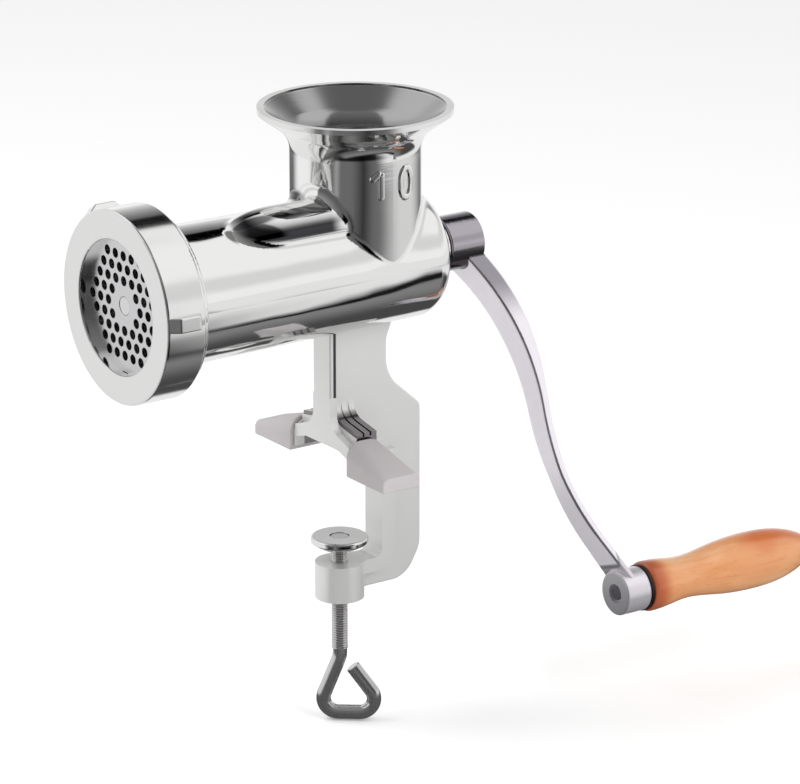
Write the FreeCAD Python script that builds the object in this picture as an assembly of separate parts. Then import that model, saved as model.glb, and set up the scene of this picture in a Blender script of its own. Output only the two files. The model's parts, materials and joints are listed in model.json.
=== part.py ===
import FreeCAD, Part
import math
import os
from FreeCAD import Vector

# A hand-cranked meat grinder, size 10, held to a table edge by its own screw clamp.
# Millimetres. +Z is up, -Y is the discharge mouth, +Y is the crank, and the origin is where
# the axis of the clamp screw meets the table top that the two feet stand on.

os.makedirs("parts", exist_ok=True)

# Shared by several pieces
overcut = 1.0                   # how far a cutting tool runs past the face it opens
cast_edge = 1.0
machined_edge = 0.5

# Barrel
barrel_height = 97.5            # barrel axis above the table top
barrel_front_radius = 33.0
barrel_rear_radius = 31.5
barrel_rear_y = 47.0
barrel_rear_rounding = 9.0
barrel_bore_radius = 27.0
barrel_rear_wall = 9.0
barrel_bore_rounding = 4.0

# Mouth of the barrel, with its outside thread and the collar behind it
ring_front_to_clamp = 124.0     # front face of the ring to the axis of the clamp screw
mouth_thread_radius = 42.0
collar_radius = 43.5
collar_width = 2.5
collar_blend = 5.0

# Retaining ring
ring_radius = 46.0
ring_length = 21.0
ring_lip = 5.0
ring_opening_radius = 32.0
ring_edge = 1.2
thread_clearance = 0.3
lug_count = 3
lug_first_angle = 3.0
lug_width = 7.0
lug_height = 3.4
lug_ramp = 4.5
lug_back_ramp = 2.7
lug_rounding = 2.0
lug_setback = 2.5
lug_edge = 0.8

# Grinding plate
plate_radius = 35.0
plate_thickness = 7.0
plate_hole_radius = 2.4
plate_hole_pitch = 6.9
plate_rings = 4                 # rows of holes counted from the middle to a corner of the hexagon
plate_centre_rings = 1          # rows left out round the centre bore
plate_bore_radius = 4.3
plate_edge = 0.6
plate_seat_clearance = 0.3
plate_proud = 0.6               # the plate stands this far out of the barrel for the ring to press on
key_pin_radius = 2.0
key_pin_length = 8.0
key_depth = 3.0
key_clearance = 0.3

# Knife
knife_blades = 4
knife_hub_radius = 12.5
knife_tip_radius = 33.5
knife_thickness = 8.0
blade_thickness = 5.5
blade_width = 9.0
blade_back_width = 4.0
blade_sweep = 18.0
blade_bow = 1.5                 # of the cutting edge; the back is hollowed a little more
blade_back_bow = 2.5
blade_tip_width = 7.2
blade_back_tip_width = 3.2
blade_root_radius = 7.5         # where the blades start inside the hub
blade_turn = 45.0
knife_hub_edge = 2.0
knife_square = 10.0
running_gap = 0.25              # between a turning face and a standing one
square_clearance = 0.1

# Feed auger
auger_clearance = 0.7           # from the flight to the bore
auger_core_front_radius = 15.0
auger_core_rear_radius = 10.5
auger_pitch = 34.0
flight_root_width = 7.5
flight_tip_width = 4.5
flight_inset = 3.0              # how deep the flight is rooted in the core
journal_radius = 8.5
journal_fit = 0.05
tang_square = 12.0
tang_setback = 0.2              # the washer bears on the crank, not on the end of the tang
stud_pin_radius = 4.2
stud_root_radius = 4.5
stud_root_length = 14.0
stud_recess = 0.3

# Rear bearing
bearing_neck_radius = 13.0
bearing_neck_length = 9.5
bearing_neck_blend = 3.5
bush_wall = 1.5
thrust_washer_radius = 17.0
thrust_washer_thickness = 2.0
washer_bore_clearance = 0.2

# Hopper
hopper_y = 10.0
neck_radius = 31.2
neck_wall = 3.3
hopper_rim_height = 76.0        # rim above the barrel axis
hopper_mouth_radius = 46.5
flare_start = 13.5              # corner of the flare below the rim
flare_rounding = 14.0
rim_lip = 2.4
rim_lip_inner = 1.1
throat_floor = 4.0              # lowest level of the throat above the barrel axis
casting_blend = 7.0             # rounding where barrel, neck and hump meet

# Feed hump, the swelling in front of the neck that lets food slide under the flight
hump_radius = 13.0
hump_length = 52.0              # from the neck to its nose
hump_nose = 30.0                # length of the rounding at its nose
hump_tilt = 24.0                # degrees from the top of the barrel towards +X
hump_depth = 27.5               # distance of its axis from the barrel axis
hump_wall = 4.0

# Leg and C-frame
leg_front_y = -10.0
leg_top = 22.0                  # the leg is rooted this far below the barrel axis
leg_rib_width = 14.5
leg_rib_thickness = 4.0
web_thickness = 7.0
waist_y = 25.5
waist_low_height = 38.5
waist_high_height = 57.5
waist_top_y = 33.0
spine_front_y = 20.0
spine_back_y = 45.3
spine_shoulder_height = 21.0
spine_rib_thickness = 7.0       # of the stiff inner edge of the C-frame
spine_rib_width = 8.0
jaw_gap = 52.0                  # lower jaw below the table top
jaw_depth = 18.0
jaw_boss_radius = 12.0
jaw_width = 14.0
jaw_step = 3.0                  # the web stops this far above the bottom of the jaw boss
spine_front_top = 8.5           # where the front of the C-frame turns up to the feet
spine_top_radius = 8.0
jaw_inner_radius = 4.0
flange_outer_radius = 12.0
heel_y = 37.0
heel_radius = 14.0
shoulder_radius = 5.0
waist_low_radius = 20.0
waist_high_radius = 14.0
spine_top_z = 2.0
web_edge = 1.0
rib_edge = 1.0
screw_clearance = 0.1

# Feet and their caps
foot_width = 16.0
foot_inner_x = 22.0
foot_outer_x = 52.0
foot_inner_height = 15.5
foot_outer_height = 5.6
foot_sole = 2.6
foot_corner = 6.0
foot_tip_share = 0.45           # the corners take at most this share of the height at the tip
foot_overlap = 1.0              # how far the yoke runs into the foot
yoke_height = 34.0
yoke_arch = 10.0                # crown of the arch below the bridge
yoke_arch_half = 14.0
yoke_arch_end = 7.0             # the arch falls to this height at the feet
yoke_arch_radius = 10.0
yoke_fork_height = 19.0         # where the rib divides into the two arms
yoke_arm_end = 13.5             # height of the front plate where it enters the cap
yoke_fork_radius = 9.0
ridge_top_height = 23.0         # crown of the ridges beside the web
ridge_end_height = 19.5         # and where they end above the foot
ridge_height = 1.8
ridge_gap = 1.0
ridge_count = 3
cap_inner_x = 24.0
cap_wall = 2.2
cap_fit = 0.2
cap_end_wall = 3.0
cap_edge = 0.8

# Clamp screw, with its handle bent from the same rod
screw_radius = 4.0
rod_radius = 3.55
table_thickness = 39.0          # the table that the clamp is stored on
screw_bend_z = -101.0
loop_bottom_z = -130.5
loop_left = -11.5
loop_right = 23.5
loop_end = 6.5
loop_end_z = -107.0
loop_turn = 52.0                # degrees from +X to the plane of the loop
neck_bend_radius = 12.0
loop_bend_radius = 7.2
pad_radius = 14.0
pad_thickness = 6.0
pad_edge = 1.2
pad_socket_depth = 2.0
pad_gap = 0.3
rivet_radius = 2.0
rivet_head_radius = 4.5
rivet_head = 2.0
rivet_length = 12.0

# Crank
crank_radius = 184.0
crank_turned = 20.0             # degrees from straight down towards +X
hub_radius = 13.5
hub_length = 19.5
hub_gap = 0.4
hub_edge = 0.8
hub_counterbore_radius = 9.6
hub_counterbore = 6.0
arm_offset = 40.1               # middle of the arm behind the barrel's bearing neck
arm_root_offset = 7.0           # middle of the arm's root behind the front of the hub
arm_root_thickness = 13.0
arm_thickness = 4.4
arm_end_thickness = 4.0
arm_width = 18.0
arm_root_width = 22.0
arm_waist_width = 12.0
arm_end_width = 19.0
arm_edge = 1.2
arm_root_reach = 47.0           # down the crank to where the arm runs straight
arm_end_reach = 58.5            # from the handle's axis back to where the arm leaves its line
arm_end_rise = 32.4             # middle of the arm's end behind its straight part
arm_bend_radius = 120.0
arm_end_bend_radius = 135.0
arm_root_set = 2.0
arm_root_taper = 8.0            # the back of the root bends nearer the hub than its front
arm_root_bend_radius = 100.0
arm_plan_radius = 60.0          # of its edges, seen from its end
arm_shoulder_reach = 30.0       # down the crank to where the root has narrowed to the arm
arm_waist_reach = 122.0         # and to where the arm is narrowest
boss_radius = 11.0
boss_length = 14.5
boss_offset = 23.0              # front face of the boss behind the middle of the arm
boss_edge = 0.8
boss_recess_radius = 4.8
boss_recess = 3.0
crank_washer_radius = 9.0
crank_washer_thickness = 1.5
crank_screw_radius = 3.0
crank_screw_length = 16.0
crank_screw_head_radius = 7.5
crank_screw_head = 4.0
crank_screw_crown = 2.5
slot_width = 1.6
slot_depth = 1.6
tapped_clearance = 0.05

# Handle
bolt_radius = 3.5
bolt_fit = 0.15
bolt_head_radius = 6.0
bolt_head = 4.0
bolt_head_crown = 1.5
bolt_end_setback = 1.0          # end of the bolt inside the recess of the boss
handle_washer_radius = 11.5
handle_washer_thickness = 1.6
end_washer_radius = 6.5
end_washer_thickness = 1.2
grip_length = 99.0
grip_butt_radius = 12.5
grip_neck_radius = 10.6
grip_belly_radius = 14.2
grip_neck_at = 24.0
grip_belly_at = 66.0
grip_tip_radius = 8.0
grip_counterbore_radius = 6.9
grip_counterbore = 9.0

# Stations along the barrel, worked out from the sizes above
ring_front_y = -ring_front_to_clamp
ring_rear_y = ring_front_y + ring_length
plate_front_y = ring_front_y + ring_lip
plate_rear_y = plate_front_y + plate_thickness
mouth_front_y = plate_front_y + plate_proud
knife_front_y = plate_rear_y + running_gap
knife_rear_y = knife_front_y + knife_thickness
mouth_floor_y = knife_rear_y
collar_front_y = ring_rear_y + thread_clearance
collar_rear_y = collar_front_y + collar_width
barrel_floor_y = barrel_rear_y - barrel_rear_wall
bearing_end_y = barrel_rear_y + bearing_neck_length
auger_rear_y = barrel_floor_y - thrust_washer_thickness - running_gap
auger_radius = barrel_bore_radius - auger_clearance
bush_radius = journal_radius + journal_fit + bush_wall
hub_front_y = bearing_end_y + hub_gap
hub_rear_y = hub_front_y + hub_length
hub_floor_y = hub_rear_y - hub_counterbore
arm_y = bearing_end_y + arm_offset + hub_gap
boss_front_y = arm_y + boss_offset
handle_start_y = boss_front_y + boss_length
grip_start_y = handle_start_y + handle_washer_thickness + running_gap
grip_end_y = grip_start_y + grip_length
grip_floor_y = grip_end_y - grip_counterbore
end_washer_y = grip_floor_y + running_gap
bolt_seat_y = end_washer_y + end_washer_thickness
foot_y = leg_front_y + foot_width / 2
key_y = (plate_front_y + plate_rear_y) / 2
key_top = barrel_height - plate_radius + key_depth
rim_z = barrel_height + hopper_rim_height
leg_top_z = barrel_height - leg_top
pad_top_z = -table_thickness
pad_bottom_z = pad_top_z - pad_thickness
jaw_top_z = -jaw_gap
jaw_bottom_z = jaw_top_z - jaw_depth

up = Vector(0, 0, 1)
along = Vector(0, 1, 0)
across = Vector(1, 0, 0)


def station(y, x=0.0, z=barrel_height):
    return Vector(x, y, z)


def bend(before, point, after, radius):
    """The directions of a corner's two runs, half its angle, and how far its arc reaches along them."""
    back = (before - point).normalize()
    ahead = (after - point).normalize()
    half = back.getAngle(ahead) / 2
    return back, ahead, half, radius / math.tan(half)


def fitted_radii(corners, closed):
    """The corners' radii, reduced alike where two arcs would need more than the run between them."""
    count = len(corners)
    points = [point for point, radius in corners]
    radii = [radius if closed or 0 < i < count - 1 else 0.0 for i, (point, radius) in enumerate(corners)]
    reaches = [
        bend(points[i - 1], points[i], points[(i + 1) % count], radii[i])[3] for i in range(count)
    ]
    rooms = []
    for i in range(count):
        run = (points[(i + 1) % count] - points[i]).Length
        rooms.append(run / max(run, reaches[i] + reaches[(i + 1) % count]))
    return [radii[i] * min(rooms[i - 1], rooms[i]) for i in range(count)]


def rounded_path(corners, closed):
    """Straight runs joined by tangent arcs. A corner is (point, radius); radius 0 keeps it sharp."""
    count = len(corners)
    radii = fitted_radii(corners, closed)
    joints = []
    for i, (point, _) in enumerate(corners):
        if radii[i] <= 0:
            joints.append((point, None, point))
            continue
        back, ahead, half, reach = bend(corners[i - 1][0], point, corners[(i + 1) % count][0], radii[i])
        middle = (back + ahead).normalize()
        crown = point + middle * (radii[i] / math.sin(half) - radii[i])
        joints.append((point + back * reach, crown, point + ahead * reach))
    edges = []
    for i, (start, crown, end) in enumerate(joints):
        if crown is not None:
            edges.append(Part.Arc(start, crown, end).toShape())
        if i == count - 1 and not closed:
            continue
        following = joints[(i + 1) % count][0]
        if (following - end).Length > 1e-6:
            edges.append(Part.LineSegment(end, following).toShape())
    return Part.Wire(edges)


def plane_face(corners, place):
    """A face from (u, v, radius) corners, set in space by place(u, v)."""
    return Part.Face(rounded_path([(place(u, v), radius) for u, v, radius in corners], True))


def turned_y(corners, x=0.0, z=barrel_height):
    """A solid turned about an axis along Y, from (radius, y, rounding) corners."""
    face = plane_face(corners, lambda r, y: Vector(x + r, y, z))
    return face.revolve(Vector(x, 0, z), along, 360)


def turned_z(corners, x=0.0, y=0.0):
    """A solid turned about an upright axis, from (radius, z, rounding) corners."""
    face = plane_face(corners, lambda r, z: Vector(x + r, y, z))
    return face.revolve(Vector(x, y, 0), up, 360)


def rod_y(radius, start, end, x=0.0, z=barrel_height):
    return Part.makeCylinder(radius, end - start, Vector(x, start, z), along)


def rod_z(radius, start, end, x=0.0, y=0.0):
    return Part.makeCylinder(radius, end - start, Vector(x, y, start), up)


def square_bar(side, start, end):
    corner = Vector(-side / 2, start, barrel_height - side / 2)
    return Part.makeBox(side, end - start, side, corner)


def slab(corners, place, thickness, direction):
    """A plate of even thickness, centred on the plane of its outline."""
    face = plane_face(corners, place)
    face.translate(direction * (-thickness / 2))
    return face.extrude(direction * thickness)


def eased(shape, radius, edges=None):
    """Rounds the given edges of a solid, or all of them."""
    return shape.makeFillet(radius, edges or shape.Edges)


def curved_seams(shape):
    """The edges where two round surfaces cross, which are neither lines nor arcs."""
    return [edge for edge in shape.Edges if isinstance(edge.Curve, Part.BSplineCurve)]


def yz(x=0.0):
    return lambda y, z: Vector(x, y, z)


def xz(y):
    return lambda x, z: Vector(x, y, z)


def write(shape, node):
    solids = shape.removeSplitter().Solids
    result = solids[0] if len(solids) == 1 else Part.Compound(solids)
    print(node, "solids", len(solids), "valid", result.isValid(), "volume", round(result.Volume, 1))
    result.exportStep("parts/" + node + ".step")


def flare(inset):
    """Corners of the hopper outside, or of its inside when inset by the wall."""
    neck = neck_radius - inset
    mouth = hopper_mouth_radius - inset
    floor = barrel_height + (throat_floor if inset else 0.0)
    top = rim_z + (overcut if inset else 0.0)
    lip = rim_z - (rim_lip_inner if inset else rim_lip)
    return [
        (0, floor, 0),
        (neck, floor, 0),
        (neck, rim_z - flare_start, flare_rounding),
        (mouth, lip, 0),
        (mouth, top, 0),
        (0, top, 0),
    ]


def barrel_outside():
    rear = barrel_rear_y
    neck = bearing_neck_radius
    return turned_y([
        (0, mouth_front_y, 0),
        (mouth_thread_radius, mouth_front_y, cast_edge),
        (mouth_thread_radius, collar_front_y, 0),
        (collar_radius, collar_front_y, machined_edge),
        (collar_radius, collar_rear_y, cast_edge),
        (barrel_front_radius, collar_rear_y, collar_blend),
        (barrel_rear_radius, rear, barrel_rear_rounding),
        (neck, rear, bearing_neck_blend),
        (neck, bearing_end_y, machined_edge),
        (0, bearing_end_y, 0),
    ])


def barrel_inside():
    seat = plate_radius + plate_seat_clearance
    return turned_y([
        (0, mouth_front_y - overcut, 0),
        (seat, mouth_front_y - overcut, 0),
        (seat, mouth_floor_y, 0),
        (barrel_bore_radius, mouth_floor_y, 0),
        (barrel_bore_radius, barrel_floor_y, barrel_bore_rounding),
        (bush_radius, barrel_floor_y, 0),
        (bush_radius, bearing_end_y + overcut, 0),
        (0, bearing_end_y + overcut, 0),
    ])


def hump(inset):
    """A long drop, blunt where it meets the hopper and rounded off towards the mouth."""
    tilt = math.radians(hump_tilt)
    x = hump_depth * math.sin(tilt)
    z = barrel_height + hump_depth * math.cos(tilt)
    radius = hump_radius - inset
    length = hump_nose - inset
    middle = hopper_y - neck_radius - hump_length + hump_nose
    oval = Part.Ellipse(
        Vector(x, middle - length, z), Vector(x + radius, middle, z), Vector(x, middle, z)
    )
    quarter = Part.ArcOfEllipse(oval, 0, math.pi / 2)
    start = quarter.StartPoint
    end = quarter.EndPoint
    back = hopper_y
    outline = Part.Wire([
        quarter.toShape(),
        Part.LineSegment(end, Vector(end.x, back, z)).toShape(),
        Part.LineSegment(Vector(end.x, back, z), Vector(x, back, z)).toShape(),
        Part.LineSegment(Vector(x, back, z), start).toShape(),
    ])
    return Part.Face(outline).revolve(Vector(x, 0, z), along, 360)


def leg():
    bottom = jaw_bottom_z + jaw_step
    start = leg_front_y + rib_edge
    web = slab([
        (start, leg_top_z, 0),
        (start, foot_inner_height, 0),
        (spine_front_y, spine_front_top, spine_top_radius),
        (spine_front_y, jaw_top_z, jaw_inner_radius),
        (0, jaw_top_z, 0),
        (0, bottom, 0),
        (heel_y, bottom, heel_radius),
        (spine_back_y, jaw_top_z, heel_radius),
        (spine_back_y, spine_shoulder_height, shoulder_radius),
        (waist_y, waist_low_height, waist_low_radius),
        (waist_y, waist_high_height, waist_high_radius),
        (waist_top_y, leg_top_z, 0),
    ], yz(), web_thickness, across)
    rib = Part.makeBox(
        leg_rib_width,
        leg_rib_thickness,
        leg_top_z - yoke_arch,
        Vector(-leg_rib_width / 2, leg_front_y, yoke_arch),
    )
    upright = [edge for edge in rib.Edges if edge.tangentAt(edge.FirstParameter).isEqual(up, 0.01)]
    return eased(web, web_edge).fuse(eased(rib, rib_edge, upright))


def spine_flange():
    """The stiff inner edge of the C-frame, wider than the web, with the arm of the lower jaw."""
    low = jaw_top_z - spine_rib_thickness
    back = spine_front_y + spine_rib_width
    return slab([
        (spine_front_y, spine_top_z, 0),
        (spine_front_y, jaw_top_z, jaw_inner_radius),
        (0, jaw_top_z, 0),
        (0, low, 0),
        (back, low, flange_outer_radius),
        (back, spine_top_z, 0),
    ], yz(), jaw_width, across)


def section(x, z0, z1, width, corner):
    """An upright outline across the foot with its two top corners rounded."""
    y0 = foot_y - width / 2
    y1 = foot_y + width / 2
    return rounded_path([
        (Vector(x, y0, z0), 0),
        (Vector(x, y1, z0), 0),
        (Vector(x, y1, z1), corner),
        (Vector(x, y0, z1), corner),
    ], True)


def foot_height(x):
    """Height of the foot's sloping back at x."""
    share = (x - foot_inner_x) / (foot_outer_x - foot_inner_x)
    return foot_inner_height + (foot_outer_height - foot_inner_height) * share


def foot_wedge(x0, x1, z0, grow):
    """A foot tip, or the space in its cap when it is grown."""
    width = foot_width + 2 * grow
    corner = foot_corner + grow
    inner = section(x0, z0, foot_height(x0) + grow, width, corner)
    tip_height = foot_height(x1) + grow - z0
    small = min(corner, tip_height * foot_tip_share)
    outer = section(x1, z0, foot_height(x1) + grow, width, small)
    return Part.makeLoft([inner, outer], True, True)


def foot_tip():
    return foot_wedge(foot_inner_x, foot_outer_x, foot_sole, 0.0)


def yoke_plate(half, fork, end_height, y, thickness):
    """Part of the bridge between the feet: two arms that fall from the middle, arched below."""
    x = foot_inner_x + foot_overlap
    outline = [
        (-x, yoke_arch_end, 0),
        (-yoke_arch_half, yoke_arch, yoke_arch_radius),
        (yoke_arch_half, yoke_arch, yoke_arch_radius),
        (x, yoke_arch_end, 0),
        (x, end_height, 0),
        (half, fork, yoke_fork_radius),
        (half, yoke_height, 0),
        (-half, yoke_height, 0),
        (-half, fork, yoke_fork_radius),
        (-x, end_height, 0),
    ]
    return slab(outline, xz(y + thickness / 2), thickness, along)


def yoke():
    """A plate in front, and behind it a fluted back that carries the load into the feet."""
    front = yoke_plate(
        leg_rib_width / 2, yoke_fork_height, yoke_arm_end, leg_front_y, leg_rib_thickness
    )
    start = leg_front_y + leg_rib_thickness
    depth = foot_width - leg_rib_thickness
    half = web_thickness / 2
    low = ridge_height
    back = yoke_plate(half, ridge_top_height - low, ridge_end_height - low, start, depth)
    pitch = depth / ridge_count
    ridges = [
        yoke_plate(
            half, ridge_top_height, ridge_end_height, start + pitch * i + ridge_gap, pitch - ridge_gap
        )
        for i in range(ridge_count)
    ]
    return front.fuse([back] + ridges)


def mirrored(shape):
    return shape.mirror(Vector(0, 0, 0), across)


def body_casting():
    """The barrel, hopper, feed hump, collar and bearing neck: the hollow part of the casting."""
    barrel = barrel_outside()
    neck = turned_z(flare(0.0), y=hopper_y)
    shell = barrel.fuse(neck)
    shell = shell.fuse(hump(0.0))
    shell = eased(shell, casting_blend, curved_seams(shell))
    solid = shell.cut(barrel_inside())
    solid = solid.cut(turned_z(flare(neck_wall), y=hopper_y))
    solid = solid.cut(hump(hump_wall))
    return solid.cut(plate_key_pin())


def foot_yoke():
    """The bridge under the leg with its two foot arms and their tips."""
    tip = foot_tip()
    return yoke().fuse([tip, mirrored(tip)])


def clamp_frame():
    """The leg, the C-frame and the lower jaw, rooted under the barrel and standing on the yoke."""
    boss = rod_z(jaw_boss_radius, jaw_bottom_z, jaw_top_z)
    solid = leg().fuse([spine_flange(), boss])
    solid = solid.cut(barrel_outside())
    solid = solid.cut(foot_yoke())
    return solid.cut(rod_z(screw_radius + screw_clearance, jaw_bottom_z - overcut, jaw_top_z + overcut))


def plate_key_pin():
    return rod_z(key_pin_radius, key_top - key_pin_length, key_top, y=key_y)


def bearing_bush():
    outer = rod_y(bush_radius, barrel_floor_y, bearing_end_y)
    return outer.cut(rod_y(journal_radius + journal_fit, barrel_floor_y, bearing_end_y))


def thrust_washer():
    start = barrel_floor_y - thrust_washer_thickness
    disc = rod_y(thrust_washer_radius, start, barrel_floor_y)
    return disc.cut(rod_y(journal_radius + washer_bore_clearance, start, barrel_floor_y))


def retaining_ring():
    bore = mouth_thread_radius + thread_clearance
    body = turned_y([
        (ring_opening_radius, ring_front_y, cast_edge),
        (ring_radius, ring_front_y, ring_edge),
        (ring_radius, ring_rear_y, ring_edge),
        (bore, ring_rear_y, 0),
        (bore, plate_front_y, 0),
        (ring_opening_radius, plate_front_y, 0),
    ])
    base = (bore + ring_radius) / 2
    crown = ring_radius + lug_height
    foot = ring_radius - machined_edge
    start = ring_front_y + machined_edge
    end = ring_rear_y - lug_setback
    lug = slab([
        (base, start, 0),
        (foot, start, 0),
        (crown, start + lug_ramp, lug_rounding),
        (crown, end - lug_back_ramp, lug_rounding),
        (foot, end, 0),
        (base, end, 0),
    ], lambda r, y: Vector(r, y, barrel_height), lug_width, up)
    lug = eased(lug, lug_edge)
    for i in range(lug_count):
        turned = lug.copy()
        turned.rotate(station(0), along, -lug_first_angle - 360.0 * i / lug_count)
        body = body.fuse(turned)
    return body


def hole_places():
    """Points of a hexagonal grid, in rows, without the middle ones."""
    places = []
    for row in range(-plate_rings, plate_rings + 1):
        for column in range(-plate_rings, plate_rings + 1):
            ring = max(abs(row), abs(column), abs(row + column))
            if plate_centre_rings < ring <= plate_rings:
                x = (column + row / 2) * plate_hole_pitch
                z = row * plate_hole_pitch * math.sqrt(3) / 2
                places.append((x, z))
    return places


def grinding_plate():
    disc = turned_y([
        (plate_bore_radius, plate_front_y, machined_edge),
        (plate_radius, plate_front_y, plate_edge),
        (plate_radius, plate_rear_y, plate_edge),
        (plate_bore_radius, plate_rear_y, machined_edge),
    ])
    start = plate_front_y - overcut
    end = plate_rear_y + overcut
    holes = [
        rod_y(plate_hole_radius, start, end, x, barrel_height + z) for x, z in hole_places()
    ]
    half = key_pin_radius + key_clearance
    notch_depth = key_depth + key_clearance
    notch = Part.makeBox(
        2 * half,
        end - start,
        notch_depth + overcut,
        Vector(-half, start, barrel_height - plate_radius - overcut),
    )
    return disc.cut(Part.Compound(holes)).cut(notch)


def blade():
    """One blade, its cutting edge on the plate side, swept back and bevelled behind the edge."""
    sweep = math.radians(blade_sweep)
    tip = knife_tip_radius

    def outline(width, tip_width, y):
        lead = Vector(blade_root_radius, y, barrel_height - blade_width / 2)
        tip_lead = Vector(tip * math.cos(sweep), y, barrel_height - tip * math.sin(sweep))
        bow = (lead + tip_lead) * 0.5 - up * blade_bow
        tip_trail = tip_lead + Vector(math.sin(sweep), 0, math.cos(sweep)) * tip_width
        trail = lead + up * width
        back_bow = (trail + tip_trail) * 0.5 - up * blade_back_bow
        return Part.Wire([
            Part.Arc(lead, bow, tip_lead).toShape(),
            Part.LineSegment(tip_lead, tip_trail).toShape(),
            Part.Arc(tip_trail, back_bow, trail).toShape(),
            Part.LineSegment(trail, lead).toShape(),
        ])

    front = outline(blade_width, blade_tip_width, knife_front_y)
    rear = outline(blade_back_width, blade_back_tip_width, knife_front_y + blade_thickness)
    return Part.makeLoft([front, rear], True, True)


def cutting_knife():
    hub = turned_y([
        (0, knife_front_y, 0),
        (knife_hub_radius, knife_front_y, 0),
        (knife_hub_radius, knife_rear_y - running_gap, knife_hub_edge),
        (0, knife_rear_y - running_gap, 0),
    ])
    first = blade()
    knife = hub
    for i in range(knife_blades):
        turned = first.copy()
        turned.rotate(station(0), along, 360.0 * i / knife_blades + blade_turn)
        knife = knife.fuse(turned)
    limit = rod_y(knife_tip_radius, knife_front_y, knife_rear_y)
    knife = knife.common(limit)
    side = knife_square + 2 * square_clearance
    return knife.cut(square_bar(side, knife_front_y - overcut, knife_rear_y + overcut))


def auger_flight():
    """One helical flight, swept along a helix and trimmed to the auger's envelope."""
    length = auger_rear_y - knife_rear_y
    core = min(auger_core_front_radius, auger_core_rear_radius) - flight_inset
    middle = (core + auger_radius) / 2
    spine = Part.makeHelix(auger_pitch, length + auger_pitch, middle)
    root = flight_root_width / 2
    tip = flight_tip_width / 2
    tip_radius = auger_radius + overcut
    section_wire = Part.makePolygon([
        Vector(core, 0, -root),
        Vector(tip_radius, 0, -tip),
        Vector(tip_radius, 0, tip),
        Vector(core, 0, root),
        Vector(core, 0, -root),
    ])
    sweep = Part.BRepOffsetAPI.MakePipeShell(Part.Wire(spine))
    sweep.setBiNormalMode(up)
    sweep.add(section_wire)
    sweep.build()
    sweep.makeSolid()
    envelope = Part.makeCylinder(auger_radius, length, Vector(0, 0, auger_pitch / 2))
    flight = sweep.shape().common(envelope)
    flight.rotate(Vector(0, 0, 0), across, -90)
    flight.translate(station(knife_rear_y - auger_pitch / 2))
    return flight


def feed_auger():
    screw_hole_end = hub_floor_y - crank_screw_length
    core = turned_y([
        (0, knife_rear_y, 0),
        (auger_core_front_radius, knife_rear_y, 0),
        (auger_core_rear_radius, auger_rear_y, 0),
        (journal_radius, auger_rear_y, 0),
        (journal_radius, bearing_end_y, 0),
        (0, bearing_end_y, 0),
    ])
    tang = square_bar(tang_square, bearing_end_y - overcut, hub_floor_y - tang_setback)
    auger = core.fuse([auger_flight(), tang.common(rod_y(journal_radius, 0, hub_rear_y))])
    auger = auger.cut(rod_y(crank_screw_radius + tapped_clearance, screw_hole_end, hub_rear_y))
    socket = rod_y(stud_root_radius, knife_rear_y - overcut, knife_rear_y + stud_root_length)
    return auger.cut(socket)


def auger_stud():
    root = rod_y(stud_root_radius, knife_rear_y, knife_rear_y + stud_root_length)
    drive = square_bar(knife_square, knife_front_y + running_gap, knife_rear_y)
    pin = rod_y(stud_pin_radius, plate_front_y + stud_recess, knife_front_y + running_gap)
    return root.fuse([drive, pin])


def crank_place(radial, tangential, y):
    """A point given by its distance down the crank, its distance across it and its station."""
    turn = math.radians(crank_turned)
    return Vector(
        radial * math.sin(turn) + tangential * math.cos(turn),
        y,
        barrel_height - radial * math.cos(turn) + tangential * math.sin(turn),
    )


def crank_vector(radial, tangential):
    return crank_place(radial, tangential, 0) - crank_place(0, 0, 0)


def arm_side():
    """The arm seen along its width: out from the hub, straight down, out again to the boss."""
    half = arm_thickness / 2
    root = arm_root_thickness / 2
    end = arm_end_thickness / 2
    root_y = hub_front_y + arm_root_offset
    boss_y = arm_y + arm_end_rise
    low = crank_radius
    lean = arm_end_reach
    front = [
        (0, root_y - root + arm_root_set, 0),
        (arm_root_reach, arm_y - half, arm_bend_radius),
        (low - lean, arm_y - half, arm_end_bend_radius),
        (low, boss_y - end, 0),
    ]
    rear = [
        (low, boss_y + end, 0),
        (low - lean, arm_y + half, arm_end_bend_radius - arm_thickness),
        (arm_root_reach - arm_root_taper, arm_y + half, arm_root_bend_radius),
        (0, root_y + root, 0),
    ]
    face = plane_face(front + rear, lambda r, y: crank_place(r, 0, y))
    width = 2 * arm_root_width
    face.translate(crank_vector(0, -width / 2))
    return face.extrude(crank_vector(0, width))


def arm_plan():
    """The arm seen from its end: broad at the hub, tapered to a waist, and wider again at the boss."""
    reach = crank_radius
    root = arm_root_width / 2
    shoulder = arm_width / 2
    waist = arm_waist_width / 2
    end = arm_end_width / 2
    outline = [
        (0, root, 0),
        (arm_shoulder_reach, shoulder, arm_plan_radius),
        (arm_waist_reach, waist, arm_plan_radius),
        (reach, end, 0),
        (reach, -end, 0),
        (arm_waist_reach, -waist, arm_plan_radius),
        (arm_shoulder_reach, -shoulder, arm_plan_radius),
        (0, -root, 0),
    ]
    face = plane_face(outline, lambda r, t: crank_place(r, t, 0))
    return face.extrude(along * grip_end_y)


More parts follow.
